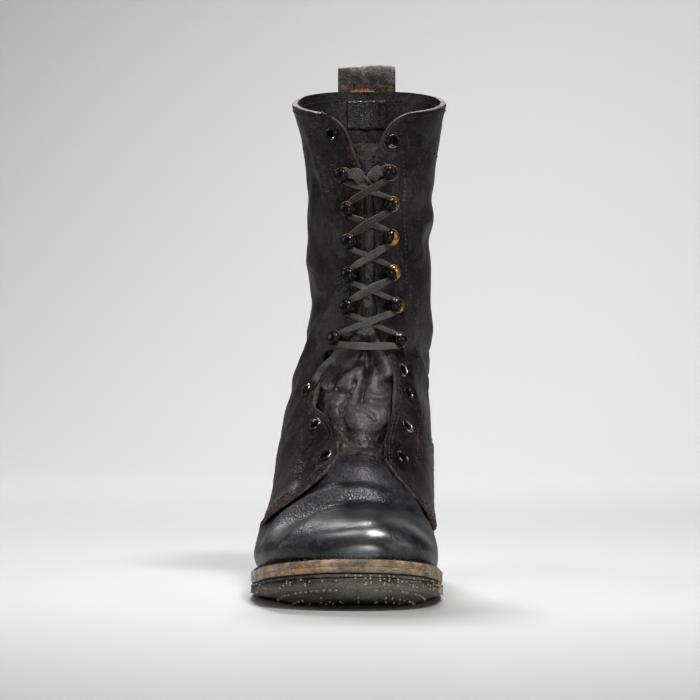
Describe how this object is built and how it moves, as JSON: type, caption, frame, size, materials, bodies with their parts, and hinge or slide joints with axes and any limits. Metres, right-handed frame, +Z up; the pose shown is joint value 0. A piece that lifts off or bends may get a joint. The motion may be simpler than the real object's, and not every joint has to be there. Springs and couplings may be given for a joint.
{
  "type": "combat boot",
  "caption": "Tall lace-up combat boot for a right foot: plain toe, open lower lacing with a soft tongue, ball hooks up the shaft, folded pull loop, layered leather sole and block heel.",
  "frame": {"origin": "on the floor under the middle of the heel", "axes": "+Z up, the toe points to -Y, +X towards the inner side of the foot (a right boot)"},
  "size_m": [0.1105, 0.3, 0.3198],
  "materials": {
    "sole_rubber": "worn matt black rubber",
    "welt_leather": "worn brown sole leather",
    "insole_leather": "bare tan leather",
    "heel_leather": "dark stained leather lifts",
    "heel_rubber": "matt black rubber",
    "black_leather": "worn polished black leather",
    "tongue_leather": "soft creased black leather",
    "loop_leather": "dull dark strap",
    "eyelet_metal": "black lacquer over brass",
    "hook_enamel": "black enamel worn to brass",
    "lace_cotton": "flat woven dark lace"
  },
  "bodies": {
    "root": {"outsole": "sole_rubber", "midsole": "welt_leather", "welt": "welt_leather", "insole": "insole_leather", "heel_lifts": "heel_leather", "heel_cap": "heel_rubber", "upper": "black_leather", "tongue": "tongue_leather", "pull_loop": "loop_leather", "lace": "lace_cotton", "lace_end_outer": "lace_cotton", "lace_end_inner": "lace_cotton", "eyelet_outer_1": "eyelet_metal", "eyelet_outer_2": "eyelet_metal", "eyelet_outer_3": "eyelet_metal", "eyelet_outer_4": "eyelet_metal", "eyelet_outer_5": "eyelet_metal", "hook_outer_1": "hook_enamel", "hook_outer_2": "hook_enamel", "hook_outer_3": "hook_enamel", "hook_outer_4": "hook_enamel", "hook_outer_5": "hook_enamel", "hook_outer_6": "hook_enamel", "eyelet_inner_1": "eyelet_metal", "eyelet_inner_2": "eyelet_metal", "eyelet_inner_3": "eyelet_metal", "eyelet_inner_4": "eyelet_metal", "eyelet_inner_5": "eyelet_metal", "hook_inner_1": "hook_enamel", "hook_inner_2": "hook_enamel", "hook_inner_3": "hook_enamel", "hook_inner_4": "hook_enamel", "hook_inner_5": "hook_enamel", "hook_inner_6": "hook_enamel"}
  },
  "joints": []
}
